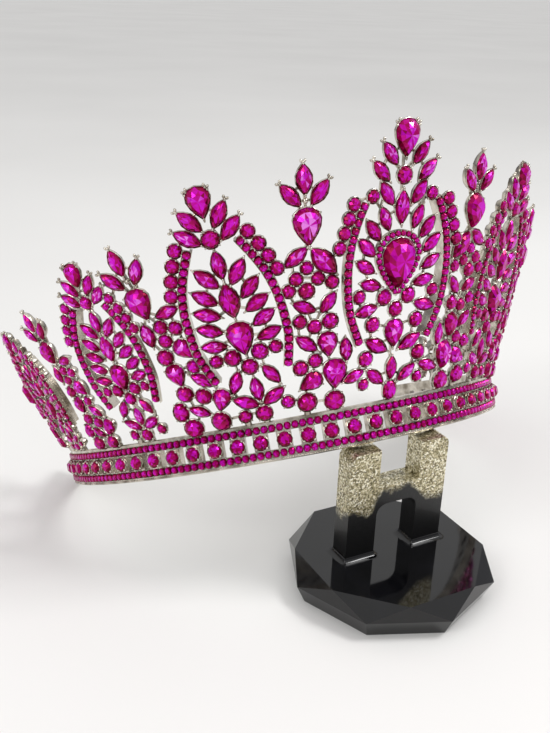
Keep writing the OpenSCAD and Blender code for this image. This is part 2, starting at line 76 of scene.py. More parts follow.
# Each stone: cut, across, up, turn, length, mirrored too, stands on the band, part.
# Lengths are hundredths of the motif's height; a link is a plain knob of metal.
charts = {
    "arch": [
        ("pear", 0, 93.8, 0, 12.7, 0, 0, "crest"),
        ("marquise", 5.7, 87.9, 38, 12, 1, 0, "field"),
        ("marquise", 8.4, 81.9, 50, 12, 1, 0, "field"),
        ("round", 0, 79.4, 0, 6.8, 0, 0, "field"),
        ("marquise", 0, 69, 0, 12, 0, 0, "field"),
        ("marquise", 6.1, 64.8, 40, 12.2, 1, 0, "field"),
        ("broad", 0, 54.2, 0, 14.8, 0, 0, "field"),
        ("marquise", 9, 57.6, 50, 11.6, 1, 0, "field"),
        ("marquise", 10, 50.8, 66, 11.6, 1, 0, "field"),
        ("marquise", 10.9, 44.3, 66, 11.2, 1, 0, "field"),
        ("marquise", 11.2, 37.4, 78, 11, 1, 0, "field"),
        ("pear", 0, 37.9, 0, 14.4, 0, 0, "drop"),
        ("round", 12.2, 31.2, 0, 5.1, 1, 0, "field"),
        ("round", 5.6, 30.9, 0, 6.4, 1, 0, "field"),
        ("round", 0, 25.6, 0, 6.4, 0, 0, "field"),
        ("marquise", 7.4, 20.3, -28, 10.8, 1, 0, "field"),
        ("marquise", 0, 15.3, 0, 11.2, 0, 0, "field"),
        ("marquise", 5.8, 10.7, 62, 11.4, 1, 0, "field"),
        ("round", 0, 4.2, 0, 6.6, 0, 1, "field"),
        ("round", -7.8, 4.7, 0, 5.2, 0, 1, "field"),
        ("round", 10.6, 6.4, 0, 5.2, 0, 0, "field"),
        ("round", 14.3, 78.8, 0, 5.3, 1, 0, "field"),
        ("round", 17, 73.2, 0, 5.4, 1, 0, "field"),
        ("round", 19.3, 67.6, 0, 5.3, 1, 0, "field"),
        ("round", 21.1, 61.9, 0, 5.2, 1, 0, "field"),
    ],
    "centre": [
        ("pear", 0, 93.6, 0, 12.8, 0, 0, "crest"),
        ("marquise", 6.1, 88.7, 38, 9.9, 1, 0, "field"),
        ("marquise", 9.3, 83, 44, 9.9, 1, 0, "field"),
        ("round", 0, 81.4, 0, 5.8, 0, 0, "field"),
        ("marquise", 6.5, 75.5, 34, 10, 1, 0, "field"),
        ("marquise", 0, 70.6, 0, 12.2, 0, 0, "field"),
        ("marquise", 6.6, 67, 24, 9.5, 1, 0, "field"),
        ("marquise", 11, 63.2, 38, 9.8, 1, 0, "field"),
        ("round", 12, 74.8, 0, 4.5, 1, 0, "field"),
        ("pear", 0, 50.9, 0, 18.2, 0, 0, "drop"),
        ("marquise", 13.3, 57.4, 48, 9.8, 1, 0, "field"),
        ("marquise", 13.5, 50.7, 60, 9.2, 1, 0, "field"),
        ("marquise", 10.9, 44.1, 78, 9.4, 1, 0, "field"),
        ("round", 15.3, 40.2, 0, 4.6, 1, 0, "field"),
        ("round", 5, 39.1, 0, 5.5, 1, 0, "field"),
        ("round", 0, 34.5, 0, 5.4, 0, 0, "field"),
        ("marquise", 12.2, 35, -76, 9.8, 1, 0, "field"),
        ("round", 9.2, 29.6, 0, 5.4, 1, 0, "field"),
        ("pear", 0, 25.4, 0, 10.8, 0, 0, "field"),
        ("marquise", 7, 21.6, 62, 11, 1, 0, "field"),
        ("round", 11.2, 17, 0, 5.5, 1, 0, "field"),
        ("marquise", 0, 12.3, 0, 9.6, 0, 0, "field"),
        ("oval", 0, 3.6, 0, 7.4, 0, 1, "field"),
        ("marquise", 6.7, 9.7, 51, 9.6, 1, 0, "field"),
        ("marquise", 15.9, 11.2, -69, 9.4, 1, 0, "field"),
        ("round", 11.6, 7.4, 0, 4.2, 1, 0, "field"),
        ("round", 19.3, 72.5, 0, 4.6, 1, 0, "field"),
        ("round", 20.9, 67.7, 0, 4.7, 1, 0, "field"),
        ("round", 22.5, 62.9, 0, 4.6, 1, 0, "field"),
        ("round", 24, 58, 0, 4.6, 1, 0, "field"),
    ],
    "spire": [
        ("broad", 0, 94, 0, 11.8, 0, 0, "field"),
        ("marquise", 5.6, 88.6, 39, 11.6, 1, 0, "field"),
        ("link", 0, 86, 0, 2.6, 0, 0, "field"),
        ("pear", 0, 76.2, 0, 14.8, 0, 0, "drop"),
        ("marquise", -5.4, 65.2, 55, 11.6, 0, 0, "field"),
        ("broad", 5.4, 62.4, -40, 14.4, 0, 0, "field"),
        ("round", -1.5, 60.6, 0, 4.9, 0, 0, "field"),
        ("round", -6, 56.7, 0, 5.2, 0, 0, "field"),
        ("round", 2.6, 56, 0, 5.1, 0, 0, "field"),
        ("round", 8, 53.8, 0, 5.1, 0, 0, "field"),
        ("round", -9.2, 52.4, 0, 5.1, 0, 0, "field"),
        ("round", -2.2, 51.6, 0, 6.1, 0, 0, "field"),
        ("marquise", -3.6, 45.2, -64, 10.4, 0, 0, "field"),
        ("marquise", 6, 45.8, 40, 10.4, 0, 0, "field"),
        ("round", -5.8, 39.5, 0, 5.2, 0, 0, "field"),
        ("round", -0.1, 36.8, 0, 5.5, 0, 0, "field"),
        ("round", 6.3, 38.2, 0, 6.1, 0, 0, "field"),
        ("marquise", -3.8, 30.2, -50, 11, 0, 0, "field"),
        ("pear", 4.7, 28.6, 0, 10.8, 0, 0, "field"),
        ("marquise", 11.9, 25.4, 0, 10.6, 0, 0, "field"),
        ("round", -6.9, 20.3, 0, 5.9, 0, 0, "field"),
        ("round", -0.8, 22.6, 0, 5.4, 0, 0, "field"),
        ("pear", 6.7, 15.6, 5, 13, 0, 0, "field"),
        ("pear", -3.4, 13.7, 60, 10.4, 0, 0, "field"),
        ("round", -5.3, 5.3, 0, 7.6, 0, 1, "field"),
        ("round", 5.9, 4.2, 0, 8, 0, 1, "field"),
    ],
    "side spire": [
        ("marquise", 0, 92.7, 0, 14, 0, 0, "field"),
        ("marquise", 6.2, 85.6, 34, 13.4, 1, 0, "field"),
        ("link", 0, 83, 0, 3, 0, 0, "field"),
        ("pear", 0, 70.9, 0, 16, 0, 0, "drop"),
        ("marquise", 9.8, 62.9, 88, 12.8, 0, 0, "field"),
        ("broad", -4.2, 56, 4, 12.6, 0, 0, "field"),
        ("round", 3.5, 57.4, 0, 6.5, 0, 0, "field"),
        ("round", 9.9, 54.4, 0, 6.5, 0, 0, "field"),
        ("round", 2.3, 50.5, 0, 6.4, 0, 0, "field"),
        ("pear", 8.8, 43.1, -30, 12, 0, 0, "field"),
        ("round", -2, 43, 0, 7.6, 0, 0, "field"),
        ("pear", -1.6, 32.8, 0, 12.2, 0, 0, "field"),
        ("round", 8.2, 33.9, 0, 6.3, 0, 0, "field"),
        ("marquise", 9, 26, -44, 13.2, 0, 0, "field"),
        ("round", -2.6, 22.7, 0, 7.8, 0, 0, "field"),
        ("round", 5.2, 18.3, 0, 7.6, 0, 0, "field"),
        ("pear", 12.3, 13.2, 36, 12, 0, 0, "field"),
        ("marquise", -0.2, 11.7, -52, 11.6, 0, 0, "field"),
        ("oval", -9.3, 14.7, 18, 9.8, 0, 0, "field"),
        ("round", -7.4, 4.7, 0, 9.2, 0, 1, "field"),
        ("round", 7, 3.3, 0, 9.2, 0, 1, "field"),
    ],
    "end": [
        ("pear", 0, 83, 0, 30, 0, 0, "field"),
        ("marquise", 17, 62, 42, 24, 1, 0, "field"),
        ("round", 0, 54, 0, 15, 0, 0, "field"),
        ("marquise", 19, 38, 62, 24, 1, 0, "field"),
        ("pear", 0, 29, 0, 24, 0, 0, "field"),
        ("round", 12, 14, 0, 17, 1, 1, "field"),
    ],
}

# The curved rails: half width and height in the same hundredths
railCharts = {
    "arch": [(9.8, 77.5), (13.5, 70), (16.4, 63), (18.4, 54), (18.9, 45),
             (18.6, 36), (17.2, 30), (14.6, 21.5)],
    "centre": [(14.8, 73), (17.4, 66.8), (19.5, 59), (20.4, 50), (19.8, 40),
             (17.9, 32), (14, 22.6)],
}
slimness = {"pear": 0.74, "marquise": 0.48, "broad": 0.54, "oval": 0.75, "round": 1, "link": 1}


# Placing

def turnX(deg):
    c, s = math.cos(math.radians(deg)), math.sin(math.radians(deg))
    return np.array([[1, 0, 0, 0], [0, c, -s, 0], [0, s, c, 0], [0, 0, 0, 1.0]])


def turnZ(deg):
    c, s = math.cos(math.radians(deg)), math.sin(math.radians(deg))
    return np.array([[c, -s, 0, 0], [s, c, 0, 0], [0, 0, 1, 0], [0, 0, 0, 1.0]])


def shift(x, y, z):
    m = np.eye(4)
    m[:3, 3] = x, y, z
    return m


crownPose = shift(0, crownY, crownZ) @ turnX(-math.degrees(lean))


def wallPlace(angle, tilt):
    # x across the motif, y up the flared wall, z out of it
    return (crownPose @ turnZ(angle) @ shift(0, -band["radius"], band["height"])
            @ turnX(90 + wall["flare"]) @ turnZ(tilt))


def bandPlace(angle, z, out=0.0):
    # x along the band, y up, z out of it
    return crownPose @ turnZ(angle) @ shift(0, -band["radius"] - out, z) @ turnX(90)


# Small parts are collected into one mesh for each kind

def newMesh():
    return {"points": [], "faces": [], "glint": [], "count": 0}


def addPart(mesh, points, faces, place, glint=None):
    points = np.asarray(points, float)
    placed = points @ place[:3, :3].T + place[:3, 3]
    start = mesh["count"]
    mesh["points"].append(placed * 0.001)
    mesh["faces"].extend([tuple(start + i for i in f) for f in faces])
    mesh["glint"].extend(glint if glint is not None else [0.5] * len(faces))
    mesh["count"] += len(points)


def makePiece(name, mesh, material, smoothBelow=None, nodes=()):
    data = bpy.data.meshes.new(name)
    data.from_pydata(np.concatenate(mesh["points"]).tolist(), [], mesh["faces"])
    attribute = data.attributes.new("glint", "FLOAT", "FACE")
    attribute.data.foreach_set("value", np.array(mesh["glint"], np.float32))
    if smoothBelow:
        data.polygons.foreach_set("use_smooth", [True] * len(data.polygons))
        data.set_sharp_from_angle(angle=math.radians(smoothBelow))
    data.materials.append(material)
    piece = bpy.data.objects.new(name, data)
    bpy.context.scene.collection.objects.link(piece)
    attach(piece, "root")
    if nodes:
        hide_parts(*nodes)


# Outlines and rings

outlineShape = {"pearWidest": 0.77, "marquiseFullness": 1.95}


def outline(cut, length, count, grow=0.0):
    b, a = length / 2 + grow, length * slimness[cut] / 2 + grow
    t = np.arange(count) / count * 2 * math.pi
    if cut == "pear":  # point down, round head up
        x = np.sin(t) * np.sin(t / 2) / outlineShape["pearWidest"]
        y = -np.cos(t)
    elif cut in ("marquise", "broad"):
        y = -np.cos(t)
        x = np.sign(np.sin(t)) * (1 - np.abs(y) ** outlineShape["marquiseFullness"])
    else:
        x, y = np.sin(t), -np.cos(t)
    return np.stack([x * a, y * b], 1)


def ringPoints(flat, z):
    return np.column_stack([flat, np.full(len(flat), z)])


def ringFaces(rings, count):
    return [(k * count + i, k * count + (i + 1) % count,
             (k + 1) * count + (i + 1) % count, (k + 1) * count + i)
            for k in range(rings - 1) for i in range(count)]


def stonePlace(place, x, y, turn, z=0.0):
    return place @ shift(x, y, z) @ turnZ(-turn)


# Materials

def srgb(hexText):
    raw = [int(hexText[i:i + 2], 16) / 255 for i in (1, 3, 5)]
    return tuple(c / 12.92 if c <= 0.04045 else ((c + 0.055) / 1.055) ** 2.4 for c in raw) + (1.0,)


def addNode(tree, kind, settings=None, links=None):
    node = tree.nodes.new(kind)
    for key, value in (settings or {}).items():
        if isinstance(key, str) and hasattr(node, key):
            setattr(node, key, value)
        else:
            node.inputs[key].default_value = value
    for key, socket in (links or {}).items():
        tree.links.new(socket, node.inputs[key])
    return node


def patternScale(mm):
    return 1000 / mm  # the texture coordinates are metres


def newMaterial(name):
    material = bpy.data.materials.new(name)
    material.use_nodes = True
    tree = material.node_tree
    tree.nodes.clear()
    return material, tree


def setRamp(ramp, stops):
    elements = ramp.color_ramp.elements
    while len(elements) > 1:
        elements.remove(elements[0])
    elements[0].position, elements[0].color = stops[0][0], srgb(stops[0][1])
    for position, colour in stops[1:]:
        elements.new(position).color = srgb(colour)


# Pressed glass with a foil back: the light each facet throws back is painted into its colour, a glint
# from dark crimson up to a pale painted highlight
foilGlass = {"ramp": [(0.0, "#4A0010"), (0.25, "#880034"), (0.48, "#B00066"), (0.68, "#C400A6"),
                      (0.86, "#D014CE"), (1.0, "#EE88EC")],
             "metallic": 0.45, "roughness": 0.15, "specular": 0.15, "coat": 0.07, "coatRoughness": 0.03,
             "driftMm": 25, "driftShare": 0.22, "fineMm": 1.11, "fineShare": 0.24}


def makeFoilGlass():
    material, tree = newMaterial("fuchsiaFoilBackedGlass")
    position = addNode(tree, "ShaderNodeTexCoord")
    facet = addNode(tree, "ShaderNodeAttribute",
                    {"attribute_type": "GEOMETRY", "attribute_name": "glint"})
    # a slow drift from stone to stone, and a fine one within each stone, both about zero
    shifts = []
    for size, share, detail in ((foilGlass["driftMm"], foilGlass["driftShare"], 2.0),
                                (foilGlass["fineMm"], foilGlass["fineShare"], 1.0)):
        noise = addNode(tree, "ShaderNodeTexNoise", {"Scale": patternScale(size), "Detail": detail},
                        {"Vector": position.outputs["Object"]})
        shifts.append(addNode(tree, "ShaderNodeMath",
                              {"operation": "MULTIPLY_ADD", 1: share, 2: -share / 2},
                              {0: noise.outputs["Fac"]}))
    both = addNode(tree, "ShaderNodeMath", {"operation": "ADD"},
                   {0: shifts[0].outputs[0], 1: shifts[1].outputs[0]})
    glint = addNode(tree, "ShaderNodeMath", {"operation": "ADD", "use_clamp": True},
                    {0: facet.outputs["Fac"], 1: both.outputs[0]})
    # the ramp turns each facet's painted glint into colour
    ramp = addNode(tree, "ShaderNodeValToRGB", {}, {"Fac": glint.outputs[0]})
    setRamp(ramp, foilGlass["ramp"])
    shader = addNode(tree, "ShaderNodeBsdfPrincipled",
                     {"Metallic": foilGlass["metallic"], "Roughness": foilGlass["roughness"],
                      "Specular IOR Level": foilGlass["specular"],
                      "Coat Weight": foilGlass["coat"],
                      "Coat Roughness": foilGlass["coatRoughness"]},
                     {"Base Color": ramp.outputs["Color"]})
    addNode(tree, "ShaderNodeOutputMaterial", {}, {"Surface": shader.outputs[0]})
    return material


# Zinc alloy, cast, polished and plated silver-tone: bright, with a slightly uneven polish
platedAlloy = {"bright": "#D8D1C5", "dull": "#887F72", "roughness": (0.16, 0.3), "cloudMm": 3.85,
               "cloudEdges": (0.3, 0.6), "grainMm": 0.455, "bump": 0.1, "bumpDepth": 0.0001}


def makePlatedAlloy():
    material, tree = newMaterial("silverTonePlatedAlloy")
    position = addNode(tree, "ShaderNodeTexCoord")
    cloud = addNode(tree, "ShaderNodeTexNoise",
                    {"Scale": patternScale(platedAlloy["cloudMm"]), "Detail": 3.0},
                    {"Vector": position.outputs["Object"]})  # patches left by the polishing wheel
    grain = addNode(tree, "ShaderNodeTexNoise",
                    {"Scale": patternScale(platedAlloy["grainMm"]), "Detail": 2.0},
                    {"Vector": position.outputs["Object"]})  # casting grain, drawn a little coarse
    ramp = addNode(tree, "ShaderNodeValToRGB", {}, {"Fac": cloud.outputs["Fac"]})
    dullest, brightest = platedAlloy["cloudEdges"]
    setRamp(ramp, [(dullest, platedAlloy["dull"]), (brightest, platedAlloy["bright"])])
    rough = addNode(tree, "ShaderNodeMapRange",
                    {"To Min": platedAlloy["roughness"][0], "To Max": platedAlloy["roughness"][1]},
                    {"Value": grain.outputs["Fac"]})
    bump = addNode(tree, "ShaderNodeBump",
                   {"Strength": platedAlloy["bump"], "Distance": platedAlloy["bumpDepth"]},
                   {"Height": grain.outputs["Fac"]})
    shader = addNode(tree, "ShaderNodeBsdfPrincipled", {"Metallic": 1.0},
                     {"Base Color": ramp.outputs["Color"], "Roughness": rough.outputs["Result"],
                      "Normal": bump.outputs["Normal"]})
    addNode(tree, "ShaderNodeOutputMaterial", {}, {"Surface": shader.outputs[0]})
    return material


# Casting resin dyed black and polished: deep gloss with a faint waviness from the mould
blackResin = {"deep": "#040405", "lifted": "#0C0C0F", "waveMm": 11.1, "waveEdges": (0.35, 0.75),
              "roughness": (0.03, 0.09), "ior": 1.5, "bump": 0.08, "bumpDepth": 0.0003}


def makeBlackResin():
    material, tree = newMaterial("polishedBlackResin")
    position = addNode(tree, "ShaderNodeTexCoord")
    wave = addNode(tree, "ShaderNodeTexNoise",
                   {"Scale": patternScale(blackResin["waveMm"]), "Detail": 2.0},
                   {"Vector": position.outputs["Object"]})
    ramp = addNode(tree, "ShaderNodeValToRGB", {}, {"Fac": wave.outputs["Fac"]})
    hollow, crest = blackResin["waveEdges"]
    setRamp(ramp, [(hollow, blackResin["deep"]), (crest, blackResin["lifted"])])
    rough = addNode(tree, "ShaderNodeMapRange",
                    {"To Min": blackResin["roughness"][0], "To Max": blackResin["roughness"][1]},
                    {"Value": wave.outputs["Fac"]})
    bump = addNode(tree, "ShaderNodeBump",
                   {"Strength": blackResin["bump"], "Distance": blackResin["bumpDepth"]},
                   {"Height": wave.outputs["Fac"]})
    shader = addNode(tree, "ShaderNodeBsdfPrincipled", {"IOR": blackResin["ior"]},
                     {"Base Color": ramp.outputs["Color"], "Roughness": rough.outputs["Result"],
                      "Normal": bump.outputs["Normal"]})
    addNode(tree, "ShaderNodeOutputMaterial", {}, {"Surface": shader.outputs[0]})
    return material


# Clear resin with champagne and silver flakes, poured over black resin: a grainy sparkle that
# ends in a wavy line above gloss black; the flakes' shades are partly their own champagne and silver,
# partly painted sparkle
glitterResin = {"flakeMm": 0.42, "black": "#060607", "line": 0.0265, "blend": 0.0012,
                "wander": 0.005, "wanderMm": 6.25, "hump": 0.006, "humpHalfWidth": (0.005, 0.01),
                "shine": 0.85, "flakeTilt": 0.3, "flakeDepth": 0.0002, "roughness": 0.3,
                "ior": 1.45, "coat": 0.15, "coatRoughness": 0.03,
                "flakes": [(0.0, "#524A32"), (0.3, "#928968"), (0.55, "#BCB28F"),
                           (0.8, "#E0D8BC"), (1.0, "#FFFCEC")]}


def makeGlitterResin():
    material, tree = newMaterial("glitterOverBlackResin")
    position = addNode(tree, "ShaderNodeTexCoord")
    place = position.outputs["Object"]
    flakes = addNode(tree, "ShaderNodeTexVoronoi", {"Scale": patternScale(glitterResin["flakeMm"])},
                     {"Vector": place})
    split = addNode(tree, "ShaderNodeSeparateColor", {}, {"Color": flakes.outputs["Color"]})
    # each flake gets a random shade from dark to near white: partly its own colour, partly painted
    # sparkle
    ramp = addNode(tree, "ShaderNodeValToRGB", {}, {"Fac": split.outputs["Red"]})
    setRamp(ramp, glitterResin["flakes"])
    axes = addNode(tree, "ShaderNodeSeparateXYZ", {}, {"Vector": place})
    wander = addNode(tree, "ShaderNodeTexNoise",
                     {"Scale": patternScale(glitterResin["wanderMm"]), "Detail": 3.0},
                     {"Vector": place})
    across = addNode(tree, "ShaderNodeMath", {"operation": "ABSOLUTE"}, {0: axes.outputs["X"]})
    inner, outer = glitterResin["humpHalfWidth"]
    hump = addNode(tree, "ShaderNodeMapRange",
                   {"From Min": inner, "From Max": outer,
                    "To Min": -glitterResin["hump"], "To Max": 0.0},
                   {"Value": across.outputs[0]})  # the black stands higher under the slot
    wavy = addNode(tree, "ShaderNodeMath",
                   {"operation": "MULTIPLY_ADD", 1: glitterResin["wander"] * 2},
                   {0: wander.outputs["Fac"], 2: axes.outputs["Z"]})
    height = addNode(tree, "ShaderNodeMath", {"operation": "ADD"},
                     {0: wavy.outputs[0], 1: hump.outputs["Result"]})
    line = glitterResin["line"] + glitterResin["wander"]
    over = addNode(tree, "ShaderNodeMapRange",
                   {"From Min": line - glitterResin["blend"], "From Max": line + glitterResin["blend"]},
                   {"Value": height.outputs[0]})
    mixed = addNode(tree, "ShaderNodeMix", {"data_type": "RGBA", 6: srgb(glitterResin["black"])},
                    {0: over.outputs["Result"], 7: ramp.outputs["Color"]})
    shine = addNode(tree, "ShaderNodeMath", {"operation": "MULTIPLY", 1: glitterResin["shine"]},
                    {0: over.outputs["Result"]})
    tilt = addNode(tree, "ShaderNodeBump",
                   {"Strength": glitterResin["flakeTilt"], "Distance": glitterResin["flakeDepth"]},
                   {"Height": split.outputs["Green"]})
    shader = addNode(tree, "ShaderNodeBsdfPrincipled",
                     {"Roughness": glitterResin["roughness"], "IOR": glitterResin["ior"],
                      "Coat Weight": glitterResin["coat"],
                      "Coat Roughness": glitterResin["coatRoughness"]},
                     {"Base Color": mixed.outputs[2], "Metallic": shine.outputs[0],
                      "Normal": tilt.outputs["Normal"]})
    addNode(tree, "ShaderNodeOutputMaterial", {}, {"Surface": shader.outputs[0]})
    return material


foilMaterial = makeFoilGlass()
metalMaterial = makePlatedAlloy()
blackMaterial = makeBlackResin()
glitterMaterial = makeGlitterResin()
print("materials made")


# Stones

cutFacets = {"girdle": 0.1, "rise": 0.3, "bezel": 0.82, "bezelRise": 0.58, "table": 0.56,
             "back": 0.5, "backScale": 0.8, "pearHeart": 0.08, "seat": 0.12}

# Painted reflection: how bright each kind of facet is painted, from 0 to 1, and how far that varies:
# two at the girdle, two round the table, one of the table; the sides and the back are painted dark
glints = {"facets": ((0.1, 0.24), (0.18, 0.28), (0.36, 0.4), (0.36, 0.4), (0.58, 0.4)),
          "paintedHighlightToHead": 0.3, "turn": 0.5, "darkest": (0.0, 0.12), "brightest": (0.8, 1.0),
          "roundShare": 0.86, "side": 0.15, "back": 0.1}


def addStone(mesh, cut, length, place, count):
    width = length * slimness[cut]
    top = cutFacets["girdle"] + cutFacets["rise"] * width
    heart = cutFacets["pearHeart"] * length if cut == "pear" else 0.0
    flat = outline(cut, length, count)
    half = outline(cut, length, count * 2)[1::2]
    bezelZ = cutFacets["girdle"] + (top - cutFacets["girdle"]) * cutFacets["bezelRise"]
    rings = [ringPoints(flat * cutFacets["backScale"], -cutFacets["back"]),
             ringPoints(flat, cutFacets["girdle"]),
             ringPoints(half * cutFacets["bezel"], bezelZ),
             ringPoints(flat * cutFacets["table"], top),
             ringPoints(np.array([[0.0, heart]]), top)]
    n = count
    faces = ringFaces(2, n)
    g, b, t, c = n, 2 * n, 3 * n, 4 * n
    for i in range(n):
        j = (i + 1) % n
        faces += [(g + i, g + j, b + i), (b + i, g + j, b + j), (t + i, b + i, t + j),
                  (b + i, b + j, t + j), (t + i, t + j, c)]
    low, high = rng.uniform(*glints["darkest"]), rng.uniform(*glints["brightest"])
    # low and high bound each stone's painted glints; the rounds get a dimmer painted highlight
    if cut == "round":
        high *= glints["roundShare"]  # the rounds look deeper, more crimson
    # the sides and the back of the stone are painted dark
    glint = [glints["side"]] * n
    turn = rng.uniform(-glints["turn"], glints["turn"])
    for i in range(n):
        # a painted highlight, strongest at the head of the stone
        direction = 0.5 - 0.5 * math.cos(2 * math.pi * (i + 0.5) / n + turn)  # 1 at the head
        for share, spread in glints["facets"]:
            value = share + glints["paintedHighlightToHead"] * direction + rng.uniform(-spread, spread)
            glint.append(low + (high - low) * min(1.0, max(0.0, value)))
    faces.append(tuple(range(n - 1, -1, -1)))
    glint.append(glints["back"])
    addPart(mesh, np.concatenate(rings), faces, place, glint)


def listStones():
    found = []
    for number, (kind, angle, tall, wide, tilt, flip) in enumerate(motifs):
        height, across = tall * wall["centreHeight"], wide * wall["centreHeight"]
        for cut, x, y, turn, length, both, foot, part in charts[kind]:
            for side in ((-1, 1) if both else (1,)):
                s = side * flip
                found.append({"motif": number, "kind": kind, "cut": cut,
                              "x": s * x * across / 100, "y": y * height / 100,
                              "turn": s * turn, "length": length * height / 100,
                              "foot": foot, "part": part, "place": wallPlace(angle, tilt),
                              "up": y})
    return found


stoneSides = ((9, 16), (4, 12), (0, 10))  # above this length, this many sides


def sidesFor(length):
    return next(sides for above, sides in stoneSides if length > above)


fineSwell = 1.05  # the small rounds sit close, nearly touching
stones = listStones()
print("stones charted:", len(stones))
sideNames = {1: "left_front_spire", 2: "right_front_spire", 3: "left_front_arch",
             4: "right_front_arch", 5: "left_side_spire", 6: "right_side_spire",
             7: "left_side_arch", 8: "right_side_arch", 9: "left_rear_spire",
             10: "right_rear_spire", 11: "left_rear_arch", 12: "right_rear_arch", 0: "centre"}
meshes = {}
for stone in stones:
    if stone["cut"] == "link":
        continue
    if stone["length"] < smallestSolid and stone["part"] == "field":
        stone["length"] *= fineSwell
        key = "fine_stones"
    elif stone["part"] == "field":
        key = stone["kind"].split()[-1] + "_stones"
    else:
        key = sideNames[stone["motif"]] + "_" + stone["part"]
    mesh = meshes.setdefault(key, newMesh())
    spot = stonePlace(stone["place"], stone["x"], stone["y"], stone["turn"], cutFacets["seat"])
    addStone(mesh, stone["cut"], stone["length"], spot, sidesFor(stone["length"]))
for key, mesh in meshes.items():
    words = key.split("_")
    name = words[0] + "".join(w.capitalize() for w in words[1:]) + "Cut"
    makePiece(name, mesh, foilMaterial,
              nodes=[] if key == "fine_stones" else [key])
print("stones cut:", len(meshes), "pieces")


# Cups, claws and the solder that joins them

cup = {"rim": 0.28, "shoulder": -0.3, "lip": 0.42, "lipEdge": 0.08, "outerShare": 0.92,
       "innerShare": 0.6, "inside": 0.04, "insideDrop": 0.1, "floor": -0.2, "depth": 1.5,
       "taper": 0.74, "sides": 14}
claw = {"width": 0.36, "length": 0.55, "height": 0.42, "lift": 0.42, "out": 0.12,
        "least": 0.7, "grow": 30, "tipReach": 1.35}
prong = {"above": 80, "pearAt": (142, 218), "pointAt": (180,), "lift": 0.3, "fork": 0.52,
         "forkOut": 0.5, "splay": 40, "ball": (0.43, 0.54, 0.46), "stem": (0.46, 0.66, 0.42),
         "stemOut": 0.05, "stemLift": -0.15}
knobDeep = 0.8


def addCup(mesh, cut, length, place, count, rim=cup["rim"]):
    rings = [ringPoints(outline(cut, length, count) * cup["taper"], -cup["depth"]),
             ringPoints(outline(cut, length, count, rim), cup["shoulder"]),
             ringPoints(outline(cut, length, count, rim * cup["outerShare"]),
                        cup["lip"] - cup["lipEdge"]),
             ringPoints(outline(cut, length, count, rim * cup["innerShare"]), cup["lip"]),
             ringPoints(outline(cut, length, count, cup["inside"]), cup["lip"] - cup["insideDrop"]),
             ringPoints(outline(cut, length, count, 0.0), cup["floor"])]
    faces = ringFaces(6, count)
    faces.append(tuple(range(count - 1, -1, -1)))
    faces.append(tuple(5 * count + i for i in range(count)))
    addPart(mesh, np.concatenate(rings), faces, place)


def beadShape(sides=6, rows=3):
    points = [(0, 0, -1)]
    for k in range(1, rows + 1):
        lat = -math.pi / 2 + math.pi * k / (rows + 1)
        for i in range(sides):
            lon = 2 * math.pi * i / sides
            points.append((math.cos(lat) * math.cos(lon), math.cos(lat) * math.sin(lon), math.sin(lat)))
    points.append((0, 0, 1))
    last = len(points) - 1
    faces = [(0, 1 + (i + 1) % sides, 1 + i) for i in range(sides)]
    for k in range(rows - 1):
        for i in range(sides):
            a, b = 1 + k * sides + i, 1 + k * sides + (i + 1) % sides
            faces.append((a, b, b + sides, a + sides))
    top = 1 + (rows - 1) * sides
    faces += [(top + i, top + (i + 1) % sides, last) for i in range(sides)]
    return np.array(points), faces


beadPoints, beadFaces = beadShape()


def addBead(mesh, place, x, y, z, size, turn=0.0):
    addPart(mesh, beadPoints * np.array(size), beadFaces, place @ shift(x, y, z) @ turnZ(turn))


def addBar(mesh, start, end, radius, sides=6):
    start, end = np.asarray(start, float), np.asarray(end, float)
    along = end - start
    size = np.linalg.norm(along)
    if size < 1e-6:
        return
    along /= size
    aside = np.cross(along, (0.3, 0.5, 0.81))  # any direction that no bar runs along
    aside /= np.linalg.norm(aside)
    third = np.cross(along, aside)
    t = np.arange(sides) / sides * 2 * math.pi
    ring = radius * (np.outer(np.cos(t), aside) + np.outer(np.sin(t), third))
    points = np.concatenate([start + ring, end + ring])
    faces = ringFaces(2, sides) + [tuple(range(sides - 1, -1, -1)), tuple(range(sides, 2 * sides))]
    addPart(mesh, points, faces, np.eye(4))


cups, claws, joints = newMesh(), newMesh(), newMesh()
clawAngles = {"marquise": (0, 180), "broad": (0, 180), "pear": (0, 130, 230),
              "round": (45, 135, 225, 315), "oval": (40, 140, 220, 320)}
for stone in stones:
    place = stonePlace(stone["place"], stone["x"], stone["y"], stone["turn"])
    stone["spot"] = place
    if stone["cut"] == "link":
        addBead(claws, place, 0, 0, cup["floor"], (stone["length"] / 2, stone["length"] / 2, knobDeep))
        continue
    count = max(cup["sides"], sidesFor(stone["length"]))
    addCup(cups, stone["cut"], stone["length"], place, count)
    fine = outline(stone["cut"], stone["length"], 360, claw["out"])  # a point for each degree
    big = min(1.0, claw["least"] + stone["length"] / claw["grow"])
    for angle in clawAngles[stone["cut"]]:
        x, y = fine[angle]
        turn = math.degrees(math.atan2(y, x)) - 90
        reach = claw["tipReach"] if angle in (0, 180) else 1.0
        addBead(claws, place, x, y, claw["lift"],
                (claw["width"] * big, claw["length"] * big * reach, claw["height"] * big), turn)
    if stone["up"] > prong["above"] and stone["cut"] != "round" and stone["kind"] != "end":
        for angle in prong["pearAt"] if stone["cut"] == "pear" else prong["pointAt"]:
            x, y = fine[angle]
            turn = math.degrees(math.atan2(y, x)) - 90
            tip = place @ shift(x, y, prong["lift"]) @ turnZ(turn)
            for side in (-prong["fork"], prong["fork"]):
                addBead(claws, tip, side, prong["forkOut"], 0, prong["ball"], -side * prong["splay"])
            addBead(claws, tip, 0, prong["stemOut"], prong["stemLift"], prong["stem"])
print("cups and claws made")

